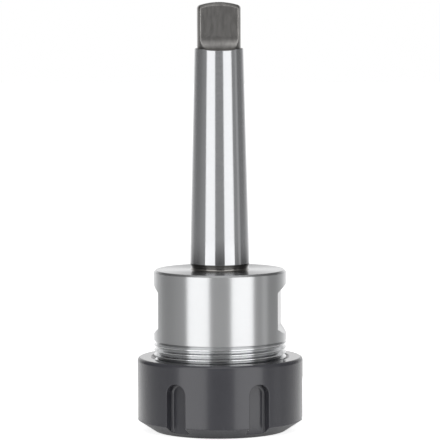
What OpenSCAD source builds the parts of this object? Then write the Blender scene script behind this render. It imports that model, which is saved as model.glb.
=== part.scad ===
// Collet chuck holder with a Morse taper shank, standing on the front face of its clamping nut.
// Millimetres. Z = 0 is the front face of the nut, +Z runs along the axis towards the tang,
// and the wrench flats of the body face +X and -X.

/* [Shank] */
// Diameter of the Morse taper at its gauge plane
gauge_d = 17.78; // [16:0.01:19]
// Height of the gauge plane above the top face of the body
gauge_rise = 5; // [3:0.1:8]
// Length over which the taper loses one millimetre of diameter
taper_run = 20.02; // [18:0.01:24]
// Length of the shank from the top face of the body to the end of the tang
shank_len = 80.6; // [65:0.1:95]
// Diameter of the relieved neck under the taper
neck_d = 16.9; // [15:0.1:17.2]
// Height of the relieved neck
neck_h = 2; // [1.4:0.05:3]
// Height of the slanted wall that leads from the neck out to the taper
neck_slope = 1.2; // [0.3:0.05:1.3]
// Fillet between the neck and the top face of the body
neck_fillet = 0.65; // [0.3:0.05:0.65]

/* [Tang] */
// Diameter over the two round sides of the tang
tang_d = 13.2; // [12:0.1:14]
// Thickness across the two flat sides of the tang
tang_t = 6.3; // [5:0.1:8]
// Length of the tang, from its shoulder to its end
tang_len = 13.8; // [12:0.1:18]
// Radius of the milling cutter that made the flat sides
tang_cutter_r = 4.2; // [3:0.1:8]
// Depth below the shoulder of the tang to which the cutter went
tang_bite = 0.7; // [0.1:0.05:1.5]
// Radius of the domed end of the tang
tang_dome_r = 20; // [14:1:40]
// Rounding between the domed end and the round sides
tang_round = 1.2; // [0.5:0.1:2]
// Height of the chamfer between the domed end and the flat sides
tang_rim = 0.8; // [0.2:0.1:1.2]
// Turn of the tang about the axis, measured from the line of the wrench flats
tang_turn = 7; // [-45:1:45]

/* [Body] */
// Diameter of the round body, and of the crests of its thread
body_d = 40; // [38:0.5:41]
// Solid wall between the relief bore and the top face
head_wall = 6.3; // [4:0.1:12]
// Chamfer around the top face
top_chamfer = 0.6; // [0.3:0.05:2]
// Width across the wrench flats
flats_w = 36; // [33:0.1:37]
// Plain round land between the end of the thread and the wrench flats
flats_land = 1.9; // [0.3:0.1:3]
// Plain round land between the wrench flats and the top face
flats_rise = 4.3; // [2:0.1:6]
// Pitch of the thread
thread_pitch = 1.5; // [1:0.25:2]
// Length of thread that stays in view above the nut
thread_show = 5.2; // [2:0.1:8]
// Distance from the front face of the nut to the nose of the body
nose_z = 11; // [10.5:0.1:12.5]
// Chamfer on the outer edge of the nose
nose_chamfer = 1; // [0.3:0.1:1.5]

/* [Nut] */
// Wall of the nut outside the crests of the thread
nut_wall = 5; // [4:0.1:8]
// Height of the nut
nut_h = 22.2; // [20:0.1:28]
// Width of the front chamfer, measured along the radius
nut_chamfer_w = 5; // [2:0.1:6]
// Height of the front chamfer
nut_chamfer_h = 3.3; // [2:0.1:5]
// Rounding of the top edge
nut_round = 1; // [0.3:0.1:2]
// Chamfer at the mouth of the internal thread
mouth_chamfer = 0.95; // [0.3:0.05:1.5]
// Chamfer around the front opening, which leads to the seat
opening_chamfer = 1.2; // [0.9:0.1:2]
// Offset from the axis of the ring that pulls the collet out
ring_offset = 0.6; // [0.3:0.05:0.65]
// Number of spanner slots
slot_count = 6; // [4:1:8]
// Width of a spanner slot
slot_w = 6.5; // [4:0.1:8]
// Depth of a spanner slot
slot_depth = 3.1; // [1.5:0.1:3.2]
// Height of the round top of a spanner slot
slot_top = 16.4; // [12:0.1:18]
// Corner radius that the cutter leaves along the floor of a slot
slot_corner = 0.8; // [0.3:0.1:1.2]
// Turn of the first slot about the axis, measured from +X
slot_turn = 2; // [0:1:59]

/* [Collet] */
// Diameter of the bore that grips the tool
bore_d = 16; // [6:0.5:20]
// Length of the collet
collet_len = 40; // [36:0.5:46]
// Largest diameter of the collet
collet_d = 33; // [31:0.1:34]
// Distance from the front face of the collet to its largest diameter
collar_z = 7.2; // [6.8:0.1:8.2]
// Half angle of the long taper
long_angle = 8; // [7:0.5:9]
// Half angle of the short front taper
front_angle = 30; // [25:1:35]
// Length of the short front taper
front_len = 4.5; // [4:0.1:4.8]
// Diameter of the lip behind the front taper
lip_d = 29.8; // [28.6:0.1:30.2]
// Diameter at the bottom of the extraction groove
groove_d = 27.2; // [25.5:0.1:27.4]
// Distance by which the front face of the collet sits inside the nut
collet_inset = 0.3; // [0.1:0.1:0.5]
// Number of slits from each end
slit_count = 8; // [4:1:9]
// Width of a slit
slit_w = 1.2; // [0.6:0.1:1.6]
// Solid length left at the back by the slits from the front
slit_back_web = 6; // [4:0.5:10]
// Solid length left at the front by the slits from the back
slit_front_web = 9.5; // [8:0.5:14]

/* [Fits] */
// Radial clearance between the collet and the tapers that hold it
seat_gap = 0.05; // [0.02:0.01:0.1]
// Radial clearance between the crests of the thread and the nut
thread_gap = 0.05; // [0.02:0.01:0.1]
// Clearance between the ring of the nut and the walls of the collet's groove
ring_gap = 0.25; // [0.1:0.05:0.35]
// Free length behind the collet, so that a long tool shank can pass
back_gap = 2; // [1:0.5:8]

/* [Hidden] */
$fn = 96;
eps = 0.01;
// Reach of a cutter beyond the surface that it opens
over = 2;
// Small edge break of ground and turned edges
edge = 0.3;

// Thread: a plain core and a plain bore at its roots, with room for the helical ridges between them
thread_depth_share = 0.6134;
thread_depth = thread_depth_share * thread_pitch;
core_r = body_d / 2 - thread_depth;
nut_bore_r = body_d / 2 + thread_gap;
thread_end = nut_h + thread_show;

// Collet
collar_top = collet_inset + collar_z;
collet_back = collet_inset + collet_len;
collar_chamfer = 0.5;
lip_land = 0.3;
face_r = lip_d / 2 - front_len * tan(front_angle);
groove_lo = collet_inset + front_len + lip_land;
groove_hi = collar_top - collar_chamfer;

// Socket in the body
relief_len = 2;
relief_lo = collet_back - relief_len;
relief_hi = collet_back + back_gap;
body_top = relief_hi + head_wall;

// Wrench flats
flats_lo = thread_end + flats_land;
flats_hi = body_top - flats_rise;
flats_slant = (body_d - flats_w) / 2;

// Shank: one piece of steel with the head, in a solid of its own that starts above the fillet of the neck
shank_lo = body_top + neck_fillet;
gauge_z = body_top + gauge_rise;
taper_lo = body_top + neck_h;
slope_lo = max(shank_lo + eps, taper_lo - neck_slope);
shank_top = body_top + shank_len;
tang_lo = shank_top - tang_len;

// Nut
nut_r = body_d / 2 + nut_wall;
relief_cut = 0.3;
relief_r = nut_bore_r + relief_cut;
relief_top = nose_z - edge;
ring_lo = groove_lo + ring_gap;
ring_hi = groove_hi - ring_gap;
pocket_r = lip_d / 2 + edge;
ring_step = 0.1;
ring_r = pocket_r - ring_offset - ring_step;

// Radius of the Morse taper at height z
function shank_r(z) = gauge_d / 2 - (z - gauge_z) / taper_run / 2;

// Radius of the collet's long taper at height z
function long_r(z) = collet_d / 2 - (z - collar_top) * tan(long_angle);

// Radius of the collet's front taper at height z
function front_r(z) = face_r + (z - collet_inset) * tan(front_angle);

// Half outline of the shank, from its neck to the shoulder of the tang
module shank_outline() {
    neck_r = neck_d / 2;
    polygon([
        [0, shank_lo], [neck_r, shank_lo], [neck_r, slope_lo], [shank_r(taper_lo), taper_lo],
        [shank_r(tang_lo - edge), tang_lo - edge], [shank_r(tang_lo) - edge, tang_lo], [0, tang_lo]
    ]);
}

// Half outline of the tang: round sides, a domed end, and a round rim between them
module tang_outline() {
    rim_x = tang_d / 2 - tang_round;
    dome_z = shank_top - tang_dome_r;
    rim_z = dome_z + sqrt(pow(tang_dome_r - tang_round, 2) - rim_x * rim_x);
    rim_end = rim_x * tang_dome_r / (tang_dome_r - tang_round);
    translate([0, tang_lo - over]) square([tang_d / 2, rim_z - tang_lo + over]);
    translate([rim_x, rim_z]) circle(tang_round);
    intersection() {
        translate([0, dome_z]) circle(tang_dome_r);
        translate([0, rim_z - over]) square([rim_end, tang_dome_r]);
    }
}

// Half outline of the head, with the threaded part at its root diameter
module head_outline() {
    body_r = body_d / 2;
    polygon([
        [0, nose_z], [core_r - nose_chamfer, nose_z], [core_r, nose_z + nose_chamfer],
        [core_r, thread_end - thread_depth], [body_r, thread_end], [body_r, body_top - top_chamfer],
        [body_r - top_chamfer, body_top], [0, body_top]
    ]);
}

// Half outline of the fillet between the top face of the head and the neck
module fillet_outline() {
    foot_r = neck_d / 2 + neck_fillet;
    difference() {
        translate([0, body_top - over]) square([foot_r, neck_fillet + over]);
        translate([foot_r, shank_lo]) circle(neck_fillet);
    }
}

// Half outline of the socket for the collet and the relief bore behind it
module socket_outline() {
    mouth_r = long_r(nose_z) + seat_gap;
    relief_r = long_r(relief_lo) + seat_gap;
    polygon([
        [0, nose_z - over], [mouth_r + edge + over, nose_z - over], [mouth_r + edge, nose_z],
        [long_r(nose_z + edge) + seat_gap, nose_z + edge], [relief_r, relief_lo],
        [relief_r, relief_hi - edge], [relief_r - edge, relief_hi], [0, relief_hi]
    ]);
}

// The tang, turned round, with its end chamfered towards the flat sides by a cone from each of them
module tang() {
    dome_z = shank_top - tang_dome_r;
    reach = tang_d / 2 + over;
    cone_r = sqrt(pow(tang_dome_r, 2) - pow(tang_t / 2, 2)) - tang_rim + tang_t / 2;
    intersection() {
        rotate_extrude() tang_outline();
        translate([0, 0, dome_z]) rotate([0, 90, 90 + tang_turn]) rotate_extrude() polygon([
            [0, -reach], [cone_r - reach, -reach], [cone_r, 0], [cone_r - reach, reach], [0, reach]
        ]);
    }
}

// One side cut of the tang: a flat, the radius that the cutter leaves, and the cutter's way out
module tang_cut() {
    axis_x = tang_t / 2 + tang_cutter_r;
    run_out = max(0, axis_x - shank_r(tang_lo - tang_bite));
    axis_z = tang_lo - tang_bite + sqrt(pow(tang_cutter_r, 2) - pow(run_out, 2));
    rotate([90, 0, 0]) linear_extrude(tang_d + 2 * over, center = true) {
        translate([axis_x, axis_z]) circle(tang_cutter_r);
        translate([axis_x, axis_z - tang_cutter_r]) square([tang_d, 2 * tang_cutter_r]);
        translate([tang_t / 2, axis_z]) square([tang_d, shank_top - axis_z + over]);
    }
}

// One wrench flat with its two slanted ends
module flat_cut() {
    reach = flats_slant + over;
    rotate([90, 0, 0]) linear_extrude(body_d + 2 * over, center = true) polygon([
        [flats_w / 2, flats_lo + flats_slant], [flats_w / 2 + reach, flats_lo - over],
        [flats_w / 2 + reach, flats_hi + over], [flats_w / 2, flats_hi - flats_slant]
    ]);
}

module chuck_head() {
    color("silver") difference() {
        rotate_extrude() difference() {
            union() {
                head_outline();
                fillet_outline();
            }
            socket_outline();
        }
        for (side = [0, 180]) rotate([0, 0, side]) flat_cut();
    }
}

module shank() {
    color("silver") difference() {
        union() {
            rotate_extrude() shank_outline();
            tang();
        }
        for (side = [0, 180]) rotate([0, 0, 90 + tang_turn + side]) tang_cut();
    }
}

// Half outline of the outside of the nut
module nut_outline() {
    polygon([
        [0, 0], [nut_r - nut_chamfer_w, 0], [nut_r, nut_chamfer_h], [nut_r, nut_h - nut_round],
        [nut_r - nut_round, nut_h - nut_round], [nut_r - nut_round, nut_h], [0, nut_h]
    ]);
    translate([nut_r - nut_round, nut_h - nut_round]) circle(nut_round);
}

// Half outline of the space inside the nut, apart from the bore of its ring
module nut_space_outline() {
    seat_end = (pocket_r - seat_gap - face_r) / tan(front_angle) + collet_inset;
    opening_r = front_r(0) + seat_gap + opening_chamfer;
    chamfer_end = opening_chamfer / (1 + tan(front_angle));
    polygon([
        [0, -over], [opening_r + over, -over], [opening_r, 0],
        [front_r(chamfer_end) + seat_gap, chamfer_end], [pocket_r, min(seat_end, ring_lo)],
        [pocket_r, ring_lo], [0, ring_lo]
    ]);
    polygon([
        [0, ring_hi], [relief_r, ring_hi], [relief_r, relief_top - relief_cut],
        [nut_bore_r, relief_top], [nut_bore_r, nut_h - mouth_chamfer],
        [nut_bore_r + mouth_chamfer + over, nut_h + over], [0, nut_h + over]
    ]);
}

// One spanner slot: the path of a cutter with rounded corners that comes in from the front
module slot_cut() {
    floor_x = nut_r - slot_depth;
    half_w = slot_w / 2;
    reach = slot_depth + over;
    translate([floor_x, 0, -over]) linear_extrude(slot_top - half_w + over) {
        translate([0, slot_corner - half_w]) square([reach, slot_w - 2 * slot_corner]);
        translate([slot_corner, -half_w]) square([reach - slot_corner, slot_w]);
        for (side = [-1, 1]) translate([slot_corner, side * (half_w - slot_corner)]) circle(slot_corner);
    }
    translate([floor_x, 0, slot_top - half_w]) rotate([0, 90, 0]) rotate_extrude() {
        square([half_w - slot_corner, reach]);
        translate([0, slot_corner]) square([half_w, reach - slot_corner]);
        translate([half_w - slot_corner, slot_corner]) circle(slot_corner);
    }
}

module clamping_nut() {
    color("dimgray") difference() {
        rotate_extrude() difference() {
            nut_outline();
            nut_space_outline();
        }
        translate([ring_offset, 0, ring_lo - eps]) cylinder(h = ring_hi - ring_lo + 2 * eps, r = ring_r);
        for (i = [0 : slot_count - 1]) rotate([0, 0, slot_turn + i * 360 / slot_count]) slot_cut();
    }
}

// Half outline of the collet, with its bore
module collet_outline() {
    bore_r = bore_d / 2;
    polygon([
        [bore_r + edge, collet_inset], [face_r, collet_inset],
        [lip_d / 2, collet_inset + front_len], [lip_d / 2, groove_lo],
        [groove_d / 2, groove_lo], [groove_d / 2, groove_hi],
        [collet_d / 2 - collar_chamfer, groove_hi], [collet_d / 2, collar_top],
        [long_r(collet_back - edge), collet_back - edge], [long_r(collet_back) - edge, collet_back],
        [bore_r + edge, collet_back], [bore_r, collet_back - edge], [bore_r, collet_inset + edge]
    ]);
}

// One slit between two heights, with a round end at each
module slit(lo, hi) {
    reach = collet_d / 2 + over;
    translate([0, -slit_w / 2, lo]) cube([reach, slit_w, hi - lo]);
    for (z = [lo, hi]) translate([0, 0, z]) rotate([0, 90, 0]) cylinder(h = reach, d = slit_w);
}

module collet() {
    color("lightsteelblue") difference() {
        rotate_extrude() collet_outline();
        for (i = [0 : slit_count - 1]) {
            rotate([0, 0, i * 360 / slit_count]) slit(collet_inset - over, collet_back - slit_back_web);
            rotate([0, 0, (i + 0.5) * 360 / slit_count]) slit(collet_inset + slit_front_web, collet_back + over);
        }
    }
}

chuck_head();
shank();
clamping_nut();
collet();
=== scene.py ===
"""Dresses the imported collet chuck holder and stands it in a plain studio.

Each solid of the frame gets its finish. The two halves of the thread, which the solids leave out, are added.
Lengths are given in millimetres and turned to metres where meshes and nodes are made.
"""

from __future__ import annotations

import logging
import math
from dataclasses import dataclass, field
from enum import Enum

import bpy
from bpy.types import Material, Node, NodeSocket, NodeTree, Object
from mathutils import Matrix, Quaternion, Vector


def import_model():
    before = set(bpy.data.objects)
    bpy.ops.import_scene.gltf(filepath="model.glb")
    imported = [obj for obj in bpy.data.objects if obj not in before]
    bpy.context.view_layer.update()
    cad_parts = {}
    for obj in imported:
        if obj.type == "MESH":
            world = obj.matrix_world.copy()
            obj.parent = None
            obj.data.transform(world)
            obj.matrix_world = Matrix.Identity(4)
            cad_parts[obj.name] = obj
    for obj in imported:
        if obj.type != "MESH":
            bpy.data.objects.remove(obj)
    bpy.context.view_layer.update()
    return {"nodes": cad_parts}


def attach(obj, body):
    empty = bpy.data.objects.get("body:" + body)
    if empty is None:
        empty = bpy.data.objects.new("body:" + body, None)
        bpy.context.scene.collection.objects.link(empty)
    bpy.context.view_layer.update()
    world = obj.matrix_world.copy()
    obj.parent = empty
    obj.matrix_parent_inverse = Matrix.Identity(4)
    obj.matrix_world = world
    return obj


LOG = logging.getLogger("collet_chuck_holder")

MM = 0.001  # metres
RIGHT_ANGLE = 90.0  # degrees
HALF_TURN = 180.0  # degrees
FULL_TURN = 360.0  # degrees

WHITE = (1.0, 1.0, 1.0, 1.0)
LEVEL_PLANE = (1.0, 1.0, 0.0)  # keeps a place's X and Y and drops its height
BLUR_TURN = 0.25  # of a whole turn: the blur of the marks lies across them
BEVEL_SAMPLES = 8

NOISE_RANGE = (0.3, 0.7)  # the levels between which most of a noise lies
STAIN_RANGE = (0.35, 0.65)  # the noise levels where a stain is darkest and where it is gone
NOISE_DETAIL = 3.0  # how many times finer detail is added to a noise
GRAIN_DETAIL = 2.0  # the same for the fine grain of the oxide
MARK_ROUGHNESS = 0.6  # the share that each finer detail of the marks keeps
STREAK_ROUGHNESS = 0.55  # the same for the streaks

MIX_NUMBERS = {"data_type": "FLOAT"}
MIX_COLOURS = {"data_type": "RGBA"}
COLOUR_A, COLOUR_B, COLOUR_OUT = 6, 7, 2  # the Mix node's places for its two colours and for what comes out

Colour = tuple[float, float, float, float]


def linear(colour: str) -> Colour:
    """Turns an sRGB hex colour to linear light.

    Args:
        colour: The colour as #RRGGBB.

    Returns:
        Red, green and blue as linear values, and an alpha of 1.
    """
    parts = [int(colour[i : i + 2], 16) / 255 for i in (1, 3, 5)]
    red, green, blue = (c / 12.92 if c <= 0.04045 else ((c + 0.055) / 1.055) ** 2.4 for c in parts)
    return red, green, blue, 1.0


def shaded(colour: str, share: float) -> Colour:
    """Gives the linear colour of which only a share of the light is left."""
    red, green, blue, alpha = linear(colour)
    return red * share, green * share, blue * share, alpha


def add_node(
    tree: NodeTree,
    kind: str,
    inputs: dict[str | int, object] | None = None,
    settings: dict[str, object] | None = None,
) -> Node:
    """Adds one node to a tree, with its settings and its inputs.

    Args:
        tree: The node tree that takes the node.
        kind: The node's type, without the leading ShaderNode.
        inputs: For each input, by name or number, a value or the output socket that feeds it.
        settings: The node's own properties by name.

    Returns:
        The new node.
    """
    node = tree.nodes.new("ShaderNode" + kind)
    for name, value in (settings or {}).items():
        setattr(node, name, value)
    for name, value in (inputs or {}).items():
        if isinstance(value, NodeSocket):
            tree.links.new(value, node.inputs[name])
        else:
            node.inputs[name].default_value = value
    return node


def fill_ramp(node: Node, stops: list[tuple[float, Colour]]) -> None:
    """Gives a colour ramp its stops.

    Args:
        node: The colour ramp.
        stops: Position from 0 to 1 and linear colour of each stop, in rising order.
    """
    elements = node.color_ramp.elements
    while len(elements) < len(stops):
        elements.new(1.0)
    for element, (position, colour) in zip(elements, stops):
        element.position = position
        element.color = colour


@dataclass(frozen=True)
class Finish:
    """What all the steel finishes share: marks that run round the axis, a broken edge and the shader."""

    name: str
    colour: str
    roughness: float
    wander: float = 0.02  # how far the roughness goes up and down from place to place
    marks: float = 0.3  # mm from one mark to the next; a wheel's marks are finer, and drawn coarser to show
    mark_run: float = 5.556  # mm round the axis over which a mark changes
    mark_depth: float = 0.0004  # mm
    edge: float = 0.12  # mm, radius of the broken edges
    anisotropy: float = 0.0

    def start(self) -> tuple[Material, NodeTree, NodeSocket]:
        """Makes an empty material and finds the place of each point on the object.

        Returns:
            The material, its node tree and the place in metres.
        """
        material = bpy.data.materials.new(self.name)
        material.use_nodes = True
        tree = material.node_tree
        tree.nodes.clear()
        return material, tree, add_node(tree, "TexCoord").outputs["Object"]

    def polar(self, tree: NodeTree, place: NodeSocket) -> tuple[Node, NodeSocket]:
        """Splits a place into its coordinates and its distance from the axis.

        Args:
            tree: The material's node tree.
            place: The place in metres.

        Returns:
            The node with the separate coordinates, and the radius.
        """
        axes = add_node(tree, "SeparateXYZ", {0: place})
        flat = add_node(tree, "VectorMath", {0: place, 1: LEVEL_PLANE}, {"operation": "MULTIPLY"})
        radius = add_node(tree, "VectorMath", {0: flat.outputs[0]}, {"operation": "LENGTH"})
        return axes, radius.outputs["Value"]

    def round_marks(self, tree: NodeTree, axes: Node, radius: NodeSocket) -> NodeSocket:
        """Draws fine marks round the axis, which change with height on a wall and with radius on a flat face.

        Args:
            tree: The material's node tree.
            axes: The node with the separate coordinates.
            radius: The distance from the axis.

        Returns:
            The marks' level from 0 to 1.
        """
        lay = add_node(tree, "Math", {0: axes.outputs["Z"], 1: radius}, {"operation": "ADD"})
        steps = (
            (axes.outputs["X"], self.mark_run),
            (axes.outputs["Y"], self.mark_run),
            (lay.outputs[0], self.marks),
        )
        counts = [
            add_node(tree, "Math", {0: length, 1: step * MM}, {"operation": "DIVIDE"}).outputs[0]
            for length, step in steps
        ]
        lines = add_node(tree, "CombineXYZ", dict(enumerate(counts)))
        noise = {
            "Vector": lines.outputs[0],
            "Scale": 1.0,
            "Detail": NOISE_DETAIL,
            "Roughness": MARK_ROUGHNESS,
        }
        return add_node(tree, "TexNoise", noise).outputs["Fac"]

    def dullness(self, tree: NodeTree, level: NodeSocket) -> NodeSocket:
        """Makes the roughness go up and down with a noise.

        Args:
            tree: The material's node tree.
            level: The noise level.

        Returns:
            The roughness.
        """
        low, high = NOISE_RANGE
        ends = {
            "Value": level,
            "From Min": low,
            "From Max": high,
            "To Min": self.roughness - self.wander,
            "To Max": self.roughness + self.wander,
        }
        return add_node(tree, "MapRange", ends).outputs[0]

    def stained(self, tree: NodeTree, level: NodeSocket, colour: str, share: float) -> NodeSocket:
        """Darkens a colour where a noise is low.

        Args:
            tree: The material's node tree.
            level: The noise level.
            colour: The colour as #RRGGBB.
            share: The share of its light that the darkest places keep.

        Returns:
            The stained colour.
        """
        stain = add_node(tree, "ValToRGB", {"Fac": level})
        dark, clear = STAIN_RANGE
        fill_ramp(stain, [(dark, shaded(colour, share)), (clear, linear(colour))])
        return stain.outputs["Color"]

    def above(self, tree: NodeTree, axes: Node, height: float) -> NodeSocket:
        """Gives 1 above a height in millimetres, and 0 below it."""
        test = {0: axes.outputs["Z"], 1: height * MM}
        return add_node(tree, "Math", test, {"operation": "GREATER_THAN"}).outputs[0]

    def close(
        self,
        tree: NodeTree,
        bumps: NodeSocket,
        looks: dict[str, object],
        edge: NodeSocket | None = None,
    ) -> None:
        """Adds the broken edges, the marks' relief, the shader and the output.

        Args:
            tree: The material's node tree.
            bumps: The level of the relief from 0 to 1.
            looks: Values and sockets for the shader.
            edge: The radius of the broken edges in metres, where it isn't the same all over.
        """
        relief = {"Strength": 1.0, "Distance": self.mark_depth * MM, "Height": bumps}
        if self.edge:
            broken = add_node(tree, "Bevel", {"Radius": edge or self.edge * MM}, {"samples": BEVEL_SAMPLES})
            relief["Normal"] = broken.outputs["Normal"]
        bump = add_node(tree, "Bump", relief)
        shader = add_node(tree, "BsdfPrincipled", {**looks, "Normal": bump.outputs["Normal"]})
        if self.anisotropy:
            around = add_node(tree, "Tangent", {}, {"direction_type": "RADIAL", "axis": "Z"})
            shader.inputs["Anisotropic"].default_value = self.anisotropy
            shader.inputs["Anisotropic Rotation"].default_value = BLUR_TURN
            tree.links.new(around.outputs[0], shader.inputs["Tangent"])
        add_node(tree, "OutputMaterial", {"Surface": shader.outputs[0]})


@dataclass(frozen=True)
class SatinSteel(Finish):
    """Hardened steel of the head, ground and left satin.

    The wheel's marks run round the body and blur its reflections up and down, so that the bright stripes
    keep clear sides and the steel between them stays a clear mid grey. The top face was ground flat, finer
    than the wall, and mirrors the neck; its colour is a darker grey than the wall's, painted shade that
    dulls what it mirrors. The fillet round the foot of the neck was turned before hardening and never
    ground, and its colour is darkened further with painted shade in the corner at the foot of the neck,
    so it shows as a dark ring.
    """

    name: str = "satin_ground_steel"
    colour: str = "#CFD0D1"
    roughness: float = 0.31
    anisotropy: float = 0.9
    face_z: float = 48.55  # mm, just under the top face
    # painted shade: a darker grey than the wall's, on the top face
    face_shade_colour: str = "#AEAFB1"
    face_roughness: float = 0.2
    fillet_z: float = 48.64  # mm, where the fillet rises out of the top face
    # painted shade: a darker, warmer grey in the corner at the foot of the neck
    fillet_shade_colour: str = "#8F8D8A"

    def build(self) -> Material:
        """Makes the material.

        Returns:
            The material.
        """
        material, tree, place = self.start()
        axes, radius = self.polar(tree, place)
        marks = self.round_marks(tree, axes, radius)
        face = self.above(tree, axes, self.face_z)
        fillet = self.above(tree, axes, self.fillet_z)

        blurs = {"Factor": face, "A": self.dullness(tree, marks), "B": self.face_roughness}
        blur = add_node(tree, "Mix", blurs, MIX_NUMBERS)

        # painted shade on the top face, then on the fillet
        tops = {"Factor": face, COLOUR_A: linear(self.colour), COLOUR_B: linear(self.face_shade_colour)}
        top = add_node(tree, "Mix", tops, MIX_COLOURS).outputs[COLOUR_OUT]
        colours = {"Factor": fillet, COLOUR_A: top, COLOUR_B: linear(self.fillet_shade_colour)}
        colour = add_node(tree, "Mix", colours, MIX_COLOURS).outputs[COLOUR_OUT]

        self.close(tree, marks, {"Base Color": colour, "Metallic": 1.0, "Roughness": blur.outputs[0]})
        return material


@dataclass(frozen=True)
class GroundSteel(Finish):
    """What the steels that were ground all over share: one colour, and marks that change their dullness."""

    def build(self) -> Material:
        """Makes the material.

        Returns:
            The material.
        """
        material, tree, place = self.start()
        marks = self.round_marks(tree, *self.polar(tree, place))
        dull = self.dullness(tree, marks)
        self.close(tree, marks, {"Base Color": linear(self.colour), "Metallic": 1.0, "Roughness": dull})
        return material


@dataclass(frozen=True)
class ThreadSteel(GroundSteel):
    """Steel of the body where the thread was ground into it.

    The narrow wheel leaves both crests and grooves smoother than the wall of the head, and the colour is
    lighter than the head's, a painted highlight, so each turn of the thread mirrors the lamps as a thin
    bright line beside a dark one.
    """

    name: str = "thread_ground_steel"
    # painted highlight: a lighter grey than the head's steel, which brightens the lines that the thread
    # mirrors
    colour: str = "#D9DADB"
    roughness: float = 0.17
    anisotropy: float = 0.4
    edge: float = 0.0


@dataclass(frozen=True)
class TaperSteel(Finish):
    """Hardened steel of the shank: a fine ground taper, and a neck and tang left as turned and milled.

    The ground taper mirrors the lamps as sharp, cool stripes that run together along the axis. They are
    sharpest at its foot, where the wheel dwelt longest. Where only the turning tool or the cutter went,
    hardening has left the steel darker and warmer, with streaks along the axis. The top of the neck, under
    the taper's overhang, is darkened further with painted shade.
    """

    name: str = "fine_ground_steel"
    colour: str = "#CACBCD"
    roughness: float = 0.24
    edge: float = 0.08  # mm, on the ground taper
    anisotropy: float = 1.0
    polished_z: tuple[float, float] = (50.55, 58.5)  # mm, where the polish of the foot is full and gone
    polished_roughness: float = 0.08
    unground: str = "#A3A19F"
    unground_roughness: float = 0.24
    unground_edge: float = 0.7  # mm, on the neck and the tang
    streak_width: float = 1.176  # mm
    streak_stretch: tuple[float, float, float] = (1.0, 1.0, 0.3)  # three times longer along the axis
    streak_shade: float = 0.78  # share of the unground colour's light that the darkest streaks keep
    # painted shade: the colour that the top of the neck's recess, under the taper's overhang, turns to
    recess_shade: str = "#716F6C"
    recess_shade_z: tuple[float, float] = (49.2, 50.2)  # mm, heights where the painted shade in the recess of the neck starts and where it is full
    sunk: float = 0.05  # mm; what lies deeper than this under the taper was never ground
    taper_r: float = 8.89  # mm, radius of the taper at the gauge plane
    gauge_z: float = 53.6  # mm
    taper_run: float = 20.02  # mm of length for each millimetre of diameter
    taper_z: tuple[float, float] = (50.55, 115.25)  # mm, heights where the ground taper starts and ends

    def unground_share(self, tree: NodeTree, height: NodeSocket, radius: NodeSocket) -> NodeSocket:
        """Finds the places that the grinding wheel left out: the neck, the tang and the cuts of its flats.

        Args:
            tree: The material's node tree.
            height: The height over the floor.
            radius: The distance from the axis.

        Returns:
            1 where the steel was never ground, and 0 on the taper.
        """
        run = 2 * self.taper_run * MM  # length in which the radius shrinks by a millimetre
        cone = {
            "Value": height,
            "From Min": self.gauge_z * MM,
            "From Max": self.gauge_z * MM + run,
            "To Min": self.taper_r * MM,
            "To Max": (self.taper_r - 1) * MM,
        }
        start, end = (z * MM for z in self.taper_z)
        taper = add_node(tree, "MapRange", cone, {"clamp": False})
        depth = add_node(tree, "Math", {0: taper.outputs[0], 1: radius}, {"operation": "SUBTRACT"})
        deep = add_node(tree, "Math", {0: depth.outputs[0], 1: self.sunk * MM}, {"operation": "GREATER_THAN"})
        over = add_node(tree, "Math", {0: height, 1: end}, {"operation": "GREATER_THAN"})
        under = add_node(tree, "Math", {0: height, 1: start}, {"operation": "LESS_THAN"})
        ends = add_node(tree, "Math", {0: under.outputs[0], 1: over.outputs[0]}, {"operation": "MAXIMUM"})
        either = add_node(tree, "Math", {0: deep.outputs[0], 1: ends.outputs[0]}, {"operation": "MAXIMUM"})
        return either.outputs[0]

    def unground_colour(self, tree: NodeTree, place: NodeSocket, height: NodeSocket) -> NodeSocket:
        """Colours the steel that was never ground: streaked, and darkened with painted shade towards the top
        of the neck's recess.

        Args:
            tree: The material's node tree.
            place: The place in metres.
            height: The height over the floor.

        Returns:
            The colour.
        """
        drawn = {0: place, 1: self.streak_stretch}
        along = add_node(tree, "VectorMath", drawn, {"operation": "MULTIPLY"})
        noise = {
            "Vector": along.outputs[0],
            "Scale": 1 / (self.streak_width * MM),
            "Detail": NOISE_DETAIL,
            "Roughness": STREAK_ROUGHNESS,
        }
        streaks = add_node(tree, "TexNoise", noise)
        streaked = self.stained(tree, streaks.outputs["Fac"], self.unground, self.streak_shade)

        # painted shade: the neck darkens towards its top, under the taper's overhang
        low, high = (z * MM for z in self.recess_shade_z)
        inside = add_node(tree, "MapRange", {"Value": height, "From Min": low, "From Max": high})
        under = add_node(tree, "Math", {0: height, 1: self.gauge_z * MM}, {"operation": "LESS_THAN"})
        both = {0: inside.outputs[0], 1: under.outputs[0]}
        recess_shade = add_node(tree, "Math", both, {"operation": "MULTIPLY"})
        colours = {"Factor": recess_shade.outputs[0], COLOUR_A: streaked, COLOUR_B: linear(self.recess_shade)}
        return add_node(tree, "Mix", colours, MIX_COLOURS).outputs[COLOUR_OUT]

    def build(self) -> Material:
        """Makes the material.

        Returns:
            The material.
        """
        material, tree, place = self.start()
        axes, radius = self.polar(tree, place)
        height = axes.outputs["Z"]
        marks = self.round_marks(tree, axes, radius)
        unground = self.unground_share(tree, height, radius)

        foot, full = (z * MM for z in self.polished_z)
        rise = add_node(tree, "MapRange", {"Value": height, "From Min": foot, "From Max": full})
        grounds = {"Factor": rise.outputs[0], "A": self.polished_roughness, "B": self.dullness(tree, marks)}
        ground = add_node(tree, "Mix", grounds, MIX_NUMBERS)
        blurs = {"Factor": unground, "A": ground.outputs[0], "B": self.unground_roughness}
        blur = add_node(tree, "Mix", blurs, MIX_NUMBERS)

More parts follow.
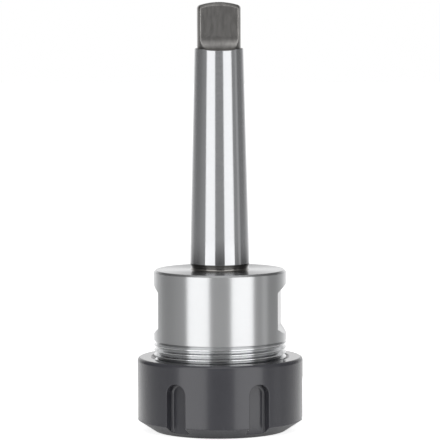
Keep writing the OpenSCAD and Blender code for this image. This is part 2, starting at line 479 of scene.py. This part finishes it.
        bare = self.unground_colour(tree, place, height)
        colours = {"Factor": unground, COLOUR_A: linear(self.colour), COLOUR_B: bare}
        colour = add_node(tree, "Mix", colours, MIX_COLOURS).outputs[COLOUR_OUT]

        edges = {"Factor": unground, "A": self.edge * MM, "B": self.unground_edge * MM}
        edge = add_node(tree, "Mix", edges, MIX_NUMBERS)
        looks = {"Base Color": colour, "Metallic": 1.0, "Roughness": blur.outputs[0]}
        self.close(tree, marks, looks, edge.outputs[0])
        return material


@dataclass(frozen=True)
class BlackOxide(Finish):
    """Steel blackened in a hot salt bath after turning and milling.

    The thin layer of oxide is a satin near-black: it hides the marks of the tools and gives a soft grey band
    for each lamp. The film of oil that keeps it from rusting turns it pale where the eye skims along it. The
    top face was turned finer, so it mirrors the thread above it.
    """

    name: str = "blackened_steel"
    colour: str = "#45454B"
    roughness: float = 0.25
    marks: float = 0.25  # mm; the crystals of the oxide are far finer, so they are drawn coarser to show
    mark_depth: float = 0.0006  # mm
    clouds: float = 6.25  # mm, the patches in which the bath took a little more or less
    cloud_shade: float = 0.94  # share of the colour's light that the darkest clouds keep
    edge: float = 0.4  # mm
    ior: float = 1.55  # of the oiled salt-bath layer, which is not a bare metal
    face_z: float = 22.15  # mm, just under the top face
    face_roughness: float = 0.05
    face_edge: float = 0.05  # mm
    oil: float = 0.35  # share of the surface that the film of oil over the oxide still covers
    oil_roughness: float = 0.12

    def build(self) -> Material:
        """Makes the material.

        Returns:
            The material.
        """
        material, tree, place = self.start()
        axes, _ = self.polar(tree, place)
        face = self.above(tree, axes, self.face_z)
        fine = {"Vector": place, "Scale": 1 / (self.marks * MM), "Detail": GRAIN_DETAIL}
        grain = add_node(tree, "TexNoise", fine)
        coarse = {"Vector": place, "Scale": 1 / (self.clouds * MM), "Detail": NOISE_DETAIL}
        clouds = add_node(tree, "TexNoise", coarse).outputs["Fac"]

        blurs = {"Factor": face, "A": self.dullness(tree, clouds), "B": self.face_roughness}
        blur = add_node(tree, "Mix", blurs, MIX_NUMBERS)
        films = {"Factor": face, "A": self.oil_roughness, "B": self.face_roughness}
        film = add_node(tree, "Mix", films, MIX_NUMBERS)
        edges = {"Factor": face, "A": self.edge * MM, "B": self.face_edge * MM}
        edge = add_node(tree, "Mix", edges, MIX_NUMBERS)

        looks = {
            "Base Color": self.stained(tree, clouds, self.colour, self.cloud_shade),
            "Metallic": 0.0,
            "Roughness": blur.outputs[0],
            "IOR": self.ior,
            "Coat Weight": self.oil,
            "Coat Roughness": film.outputs[0],
        }
        self.close(tree, grain.outputs["Fac"], looks, edge.outputs[0])
        return material


@dataclass(frozen=True)
class SpringSteel(GroundSteel):
    """Spring steel, hardened and ground all over, inside and out.

    Fine grinding leaves it a little warmer than the body, with a soft sheen.
    """

    name: str = "ground_spring_steel"
    colour: str = "#C4C4C2"
    roughness: float = 0.24
    wander: float = 0.03
    mark_depth: float = 0.0005  # mm
    edge: float = 0.1  # mm


class ThreadSide(Enum):
    """The halves of a thread: the ridge on the body points outwards, and the ridge in the nut inwards."""

    EXTERNAL = 1
    INTERNAL = -1


@dataclass
class ThreadRidge:
    """One helical ridge of the right-hand thread, a closed strip that is wound round the axis.

    Lengths are in millimetres. The ridge stands on a plain cylinder of the solid, and its foot is sunk in it.
    """

    name: str
    side: ThreadSide
    foot_r: float
    crest_r: float
    crest_w: float
    low: float
    high: float
    pitch: float = 1.5
    start_angle: float = 209.0  # degrees; where the middle of the ridge crosses the lowest height
    nose_r: float | None = None  # radius at the lowest height of the 45 degree chamfer that cuts its start
    sunk: float = 0.04
    steps: int = 96  # a turn
    half_angle: float = 30.0  # degrees, between a flank and the plane across the axis

    def profile(self) -> list[tuple[float, float]]:
        """Gives the ridge's section.

        Returns:
            Radius and height over the ridge's middle for each corner, from its lower foot to its upper foot.
        """
        rise = abs(self.crest_r - self.foot_r)
        half_crest = self.crest_w / 2
        half_foot = half_crest + rise * math.tan(math.radians(self.half_angle))
        base = self.foot_r - self.side.value * self.sunk
        return [
            (base, -half_foot),
            (self.foot_r, -half_foot),
            (self.crest_r, -half_crest),
            (self.crest_r, half_crest),
            (self.foot_r, half_foot),
            (base, half_foot),
        ]

    def corners(self, section: list[tuple[float, float]], total: int) -> list[tuple[float, float, float]]:
        """Winds the section round the axis.

        Args:
            section: Radius and height over the ridge's middle for each corner of the section.
            total: The number of steps that the ridge takes round the axis.

        Returns:
            The place of each corner in metres, one section after the other.
        """
        places: list[tuple[float, float, float]] = []
        for i in range(total + 1):
            angle = math.radians(self.start_angle + FULL_TURN * i / self.steps)
            middle = self.low + self.pitch * i / self.steps
            for radius, rise in section:
                height = min(max(middle + rise, self.low), self.high)
                if self.nose_r is not None:
                    radius = min(radius, self.nose_r + height - self.low)
                places.append((radius * math.cos(angle) * MM, radius * math.sin(angle) * MM, height * MM))
        return places

    def faces(self, count: int, total: int) -> list[tuple[int, ...]]:
        """Joins the sections to a closed strip.

        Args:
            count: The number of corners of a section.
            total: The number of steps that the ridge takes round the axis.

        Returns:
            The corners of each face: the sides in the order of the steps, then the two ends.
        """
        sides: list[tuple[int, ...]] = []
        for i in range(total):
            for k in range(count):
                a = i * count + k
                b = i * count + (k + 1) % count
                sides.append((a, b, b + count, a + count))
        first = tuple(range(count))
        last = tuple(range(total * count, total * count + count))
        if self.side is ThreadSide.INTERNAL:
            return sides + [first[::-1], last]
        return [side[::-1] for side in sides] + [first, last[::-1]]

    def build(self, material: Material) -> Object:
        """Makes the ridge and dresses it.

        Args:
            material: The ridge's finish.

        Returns:
            The new object, in the frame's place.
        """
        section = self.profile()
        count = len(section)
        total = math.ceil((self.high - self.low) / self.pitch * self.steps)
        mesh = bpy.data.meshes.new(self.name)
        mesh.from_pydata(self.corners(section, total), [], self.faces(count, total))
        mesh.validate()
        for polygon in mesh.polygons:
            polygon.use_smooth = polygon.index < total * count  # the two ends stay flat
        for edge in mesh.edges:
            a, b = edge.vertices
            edge.use_edge_sharp = abs(a - b) == count  # the edges along the helix stay crisp
        mesh.materials.append(material)
        ridge = bpy.data.objects.new(self.name, mesh)
        bpy.context.scene.collection.objects.link(ridge)
        return ridge


@dataclass
class ChuckBody:
    """The head and the shank, with the external thread that the solids leave out."""

    head_finish: SatinSteel = field(default_factory=SatinSteel)
    shank_finish: TaperSteel = field(default_factory=TaperSteel)
    thread_finish: ThreadSteel = field(default_factory=ThreadSteel)
    body: str = "chuck_body"
    thread: ThreadRidge = field(
        default_factory=lambda: ThreadRidge(
            name="body_thread",
            side=ThreadSide.EXTERNAL,
            foot_r=19.08,
            crest_r=20.0,
            crest_w=0.22,
            low=11.0,
            high=27.35,
            nose_r=18.08,
        )
    )

    def dress(self, nodes: dict[str, Object]) -> list[str]:
        """Gives the solids their finish and adds the thread.

        Args:
            nodes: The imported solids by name.

        Returns:
            The names of the pieces that were dressed.
        """
        nodes["chuck_head"].data.materials[0] = self.head_finish.build()
        nodes["shank"].data.materials[0] = self.shank_finish.build()
        ridge = self.thread.build(self.thread_finish.build())
        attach(ridge, self.body)
        return ["chuck_head", "shank", ridge.name]


@dataclass
class ClampingNut:
    """The slotted nut, with the internal thread that the solid leaves out."""

    finish: BlackOxide = field(default_factory=BlackOxide)
    body: str = "clamping_nut"
    thread: ThreadRidge = field(
        default_factory=lambda: ThreadRidge(
            name="nut_thread",
            side=ThreadSide.INTERNAL,
            foot_r=20.05,
            crest_r=19.35,
            crest_w=0.1,
            low=11.75,  # half a pitch over the body's, so that each ridge lies in the other's groove
            high=21.2,
        )
    )

    def dress(self, nodes: dict[str, Object]) -> list[str]:
        """Gives the solid its finish and adds the thread.

        Args:
            nodes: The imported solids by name.

        Returns:
            The names of the pieces that were dressed.
        """
        black = self.finish.build()
        nodes["clamping_nut"].data.materials[0] = black
        ridge = self.thread.build(black)
        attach(ridge, self.body)
        return ["clamping_nut", ridge.name]


@dataclass
class Collet:
    """The slit collet inside the nut."""

    finish: SpringSteel = field(default_factory=SpringSteel)

    def dress(self, nodes: dict[str, Object]) -> list[str]:
        """Gives the solid its finish and returns the name of the piece."""
        nodes["collet"].data.materials[0] = self.finish.build()
        return ["collet"]


@dataclass(frozen=True)
class Ring:
    """The room's light at one height all round the object."""

    sine: float  # of the angle over the horizon
    levels: tuple[tuple[float, float], ...]  # degrees from the camera's side, and the level there


# From the floor to the ceiling: in front of the object the room is pale low down and high up, dark between
ROOM = (
    Ring(-0.35, ((0, 0.95), (70, 0.7), (95, 0.7), (112, 0.45), (125, 0.45), (150, 0.9))),
    Ring(-0.14, ((0, 0.4), (70, 0.5), (96, 0.65), (118, 0.95), (135, 1.15), (180, 1.2))),
    Ring(
        -0.09,
        ((0, 0.1), (62, 0.3), (75, 0.22), (90, 0.1), (118, 0.08), (138, 0.3), (150, 0.6), (180, 0.7)),
    ),
    Ring(
        0.1,
        ((0, 0.08), (62, 0.3), (75, 0.22), (90, 0.1), (118, 0.08), (138, 0.3), (150, 0.6), (180, 0.7)),
    ),
    Ring(0.5, ((0, 0.35), (60, 0.3), (100, 0.14), (130, 0.13), (180, 0.2))),
    Ring(0.72, ((0, 0.95), (60, 0.8), (90, 0.2), (180, 0.13))),
    Ring(0.96, ((0, 0.95), (60, 0.7), (100, 0.2), (180, 0.15))),
    Ring(1.0, ((0, 0.45), (180, 0.45))),
)


@dataclass(frozen=True)
class SoftBox:
    """A tall soft box, seen from the object."""

    name: str
    bearing: float  # degrees from the camera's side, towards its right, to the middle of the box
    width: float  # degrees
    radiance: float


LAMPS = (
    SoftBox("soft_box_left", bearing=-38.7, width=41.0, radiance=1.3),
    SoftBox("soft_box_right", bearing=39.9, width=41.0, radiance=1.3),
    SoftBox("strip_light_right", bearing=85.0, width=12.0, radiance=0.2),
)


@dataclass
class Studio:
    """A pale floor, a white backdrop, a grey room in front, two tall soft boxes and a weak strip light."""

    view_azimuth: float = 4.2  # degrees, from -Y towards +X
    view_distance: float = 900.0  # mm
    view_height: float = 136.0  # mm
    aim_height: float = 63.55  # mm
    aim_side: float = 0.115  # mm to the camera's right
    lens: float = 244.8  # mm
    sensor: float = 36.0  # mm
    clip: tuple[float, float] = (50.0, 50000.0)  # mm, the nearest and the farthest that the camera shows
    roll: float = -0.227  # degrees
    box_distance: float = 1300.0  # mm
    box_height: float = 1900.0  # mm
    box_middle: float = 250.0  # mm
    backdrop_edge: tuple[float, float] = (142.0, 165.0)  # degrees from the camera where it fades in
    backdrop_top: tuple[float, float] = (0.15, 0.5)  # sine of the angle over the horizon where that ends
    floor_size: float = 6000.0  # mm
    paper: str = "#F2F2F2"
    table_edge: tuple[float, float] = (32.0, 40.0)  # mm, radii where the floor that metal mirrors ends
    floor_lift: float = 0.8  # light of its own that makes the white paper white in the picture
    mirror_lift: float = 0.18  # the same where the metal mirrors the paper close to the object

    def direction(self, azimuth: float) -> Vector:
        """Gives the level direction at an angle in degrees from the camera's side, towards its right."""
        turn = math.radians(self.view_azimuth + azimuth)
        return Vector((math.sin(turn), -math.cos(turn), 0))

    def camera(self) -> None:
        """Sets the camera up at the photograph's angle."""
        data = bpy.data.cameras.new("camera")
        data.lens = self.lens
        data.sensor_width = self.sensor
        data.clip_start, data.clip_end = (distance * MM for distance in self.clip)
        camera = bpy.data.objects.new("camera", data)
        bpy.context.scene.collection.objects.link(camera)
        stand = self.direction(0) * self.view_distance * MM
        stand.z = self.view_height * MM
        camera.location = stand
        aim = self.direction(RIGHT_ANGLE) * self.aim_side * MM
        aim.z = self.aim_height * MM
        sight = (aim - stand).to_track_quat("-Z", "Y")
        camera.rotation_mode = "QUATERNION"
        camera.rotation_quaternion = sight @ Quaternion((0, 0, 1), math.radians(self.roll))
        bpy.context.scene.camera = camera

    def soft_boxes(self) -> None:
        """Sets the lamps up round the object, each turned towards it."""
        for box in LAMPS:
            data = bpy.data.lights.new(box.name, "AREA")
            data.shape = "RECTANGLE"
            data.size = 2 * self.box_distance * math.tan(math.radians(box.width / 2)) * MM
            data.size_y = self.box_height * MM
            data.energy = box.radiance * math.pi * data.size * data.size_y
            lamp = bpy.data.objects.new(box.name, data)
            bpy.context.scene.collection.objects.link(lamp)
            lamp.location = self.direction(box.bearing) * self.box_distance * MM
            lamp.location.z = self.box_middle * MM
            turn = math.radians(self.view_azimuth + box.bearing)
            lamp.rotation_euler = (math.radians(RIGHT_ANGLE), 0, turn)
            lamp.visible_camera = False

    def background_rays(self, tree: NodeTree) -> tuple[NodeSocket, NodeSocket]:
        """Tells the rays that show a background from the rays that only carry light.

        Args:
            tree: The node tree of the world or of a material.

        Returns:
            1 for rays from the camera, and 1 for rays that metal or glass sends on.
        """
        path = add_node(tree, "LightPath")
        both = {0: path.outputs["Is Glossy Ray"], 1: path.outputs["Is Transmission Ray"]}
        sent_on = add_node(tree, "Math", both, {"operation": "MAXIMUM"})
        return path.outputs["Is Camera Ray"], sent_on.outputs[0]

    def turn_share(self, tree: NodeTree, way: NodeSocket) -> NodeSocket:
        """Finds how far a direction is turned from the camera's, to either side.

        Args:
            tree: The world's node tree.
            way: The direction.

        Returns:
            0 at the camera's side, and 1 half a turn from it.
        """
        ahead, right = (
            add_node(tree, "VectorMath", {0: way, 1: self.direction(azimuth)}, {"operation": "DOT_PRODUCT"})
            for azimuth in (0, RIGHT_ANGLE)
        )
        sides = {0: right.outputs["Value"], 1: ahead.outputs["Value"]}
        bearing = add_node(tree, "Math", sides, {"operation": "ARCTAN2"})
        either = add_node(tree, "Math", {0: bearing.outputs[0]}, {"operation": "ABSOLUTE"})
        return add_node(tree, "Math", {0: either.outputs[0], 1: math.pi}, {"operation": "DIVIDE"}).outputs[0]

    def ring(self, tree: NodeTree, share: NodeSocket, ring: Ring) -> NodeSocket:
        """Makes one ring of the room's light.

        Args:
            tree: The world's node tree.
            share: The share of a half turn from the camera's side.
            ring: The ring's height and levels.

        Returns:
            The ring's grey.
        """
        ramp = add_node(tree, "ValToRGB", {"Fac": share})
        fill_ramp(ramp, [(degrees / HALF_TURN, (level, level, level, 1.0)) for degrees, level in ring.levels])
        return ramp.outputs["Color"]

    def room(self, tree: NodeTree, share: NodeSocket, up: NodeSocket) -> NodeSocket:
        """Joins the rings of the room's light, each to the next one up.

        Args:
            tree: The world's node tree.
            share: The share of a half turn from the camera's side.
            up: The sine of the angle over the horizon.

        Returns:
            The room's grey.
        """
        (low, grey), *others = [(ring.sine, self.ring(tree, share, ring)) for ring in ROOM]
        for high, level in others:
            rise = add_node(tree, "MapRange", {"Value": up, "From Min": low, "From Max": high})
            colours = {"Factor": rise.outputs[0], COLOUR_A: grey, COLOUR_B: level}
            grey = add_node(tree, "Mix", colours, MIX_COLOURS).outputs[COLOUR_OUT]
            low = high
        return grey

    def backdrop(self, tree: NodeTree, share: NodeSocket, up: NodeSocket) -> NodeSocket:
        """Finds the rays that see the white backdrop: the camera's, and those that metal sends behind.

        Args:
            tree: The world's node tree.
            share: The share of a half turn from the camera's side.
            up: The sine of the angle over the horizon.

        Returns:
            1 for the rays that see it.
        """
        camera_ray, sent_on = self.background_rays(tree)
        near, full = (degrees / HALF_TURN for degrees in self.backdrop_edge)
        below, gone = self.backdrop_top
        behind = add_node(tree, "MapRange", {"Value": share, "From Min": near, "From Max": full})
        under = add_node(tree, "MapRange", {"Value": up, "From Min": gone, "From Max": below})
        white = add_node(tree, "Math", {0: behind.outputs[0], 1: under.outputs[0]}, {"operation": "MULTIPLY"})
        mirrored = add_node(tree, "Math", {0: sent_on, 1: white.outputs[0]}, {"operation": "MULTIPLY"})
        shown = add_node(tree, "Math", {0: camera_ray, 1: mirrored.outputs[0]}, {"operation": "MAXIMUM"})
        return shown.outputs[0]

    def world(self) -> None:
        """Makes the room: white behind the object, grey in front of it, darker at its sides."""
        world = bpy.data.worlds.new("studio")
        bpy.context.scene.world = world
        world.use_nodes = True
        tree = world.node_tree
        tree.nodes.clear()
        way = add_node(tree, "TexCoord").outputs["Generated"]
        share = self.turn_share(tree, way)
        up = add_node(tree, "SeparateXYZ", {0: way}).outputs["Z"]
        plain = add_node(tree, "Background", {"Color": self.room(tree, share, up), "Strength": 1.0})
        white = add_node(tree, "Background", {"Color": WHITE, "Strength": 1.0})
        parts = {0: self.backdrop(tree, share, up), 1: plain.outputs[0], 2: white.outputs[0]}
        light = add_node(tree, "MixShader", parts)
        add_node(tree, "OutputWorld", {"Surface": light.outputs[0]})

    def matt_paper(self) -> Material:
        """Makes the floor's material: matt white paper, which bounces a soft light up at the object.

        Returns:
            The material, which metal sees only close to the object.
        """
        material = bpy.data.materials.new("matt_white_paper")
        material.use_nodes = True
        tree = material.node_tree
        tree.nodes.clear()
        camera_ray, sent_on = self.background_rays(tree)
        seen = add_node(tree, "Math", {0: camera_ray, 1: self.floor_lift}, {"operation": "MULTIPLY"})
        mirrored = {0: sent_on, 1: self.mirror_lift, 2: seen.outputs[0]}
        lift = add_node(tree, "Math", mirrored, {"operation": "MULTIPLY_ADD"})
        paper = add_node(tree, "BsdfDiffuse", {"Color": linear(self.paper)})
        glow = add_node(tree, "Emission", {"Color": WHITE, "Strength": lift.outputs[0]})
        sheet = add_node(tree, "AddShader", {0: paper.outputs[0], 1: glow.outputs[0]})

        place = add_node(tree, "TexCoord").outputs["Object"]
        radius = add_node(tree, "VectorMath", {0: place}, {"operation": "LENGTH"}).outputs["Value"]
        near, end = (length * MM for length in self.table_edge)
        far = add_node(tree, "MapRange", {"Value": radius, "From Min": near, "From Max": end})
        gone = add_node(tree, "Math", {0: sent_on, 1: far.outputs[0]}, {"operation": "MULTIPLY"})
        clear = add_node(tree, "BsdfTransparent")
        surface = add_node(tree, "MixShader", {0: gone.outputs[0], 1: sheet.outputs[0], 2: clear.outputs[0]})
        add_node(tree, "OutputMaterial", {"Surface": surface.outputs[0]})
        return material

    def floor(self) -> None:
        """Lays the pale floor."""
        half = self.floor_size / 2 * MM
        corners = [(-half, -half, 0), (half, -half, 0), (half, half, 0), (-half, half, 0)]
        mesh = bpy.data.meshes.new("floor")
        mesh.from_pydata(corners, [], [(0, 1, 2, 3)])
        mesh.materials.append(self.matt_paper())
        floor = bpy.data.objects.new("floor", mesh)
        bpy.context.scene.collection.objects.link(floor)

    def build(self) -> None:
        """Sets up the camera, the lamps, the room and the floor."""
        self.camera()
        self.soft_boxes()
        self.world()
        self.floor()
        bpy.context.scene.view_settings.view_transform = "Standard"


def main() -> None:
    """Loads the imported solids, dresses each sub-assembly and sets up the studio."""
    logging.basicConfig(level=logging.INFO, format="%(name)s: %(message)s")
    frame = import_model()
    for part in (ChuckBody(), ClampingNut(), Collet()):
        pieces = part.dress(frame["nodes"])
        LOG.info("%s: %s", type(part).__name__, ", ".join(pieces))
    Studio().build()


if __name__ == "__main__":
    main()
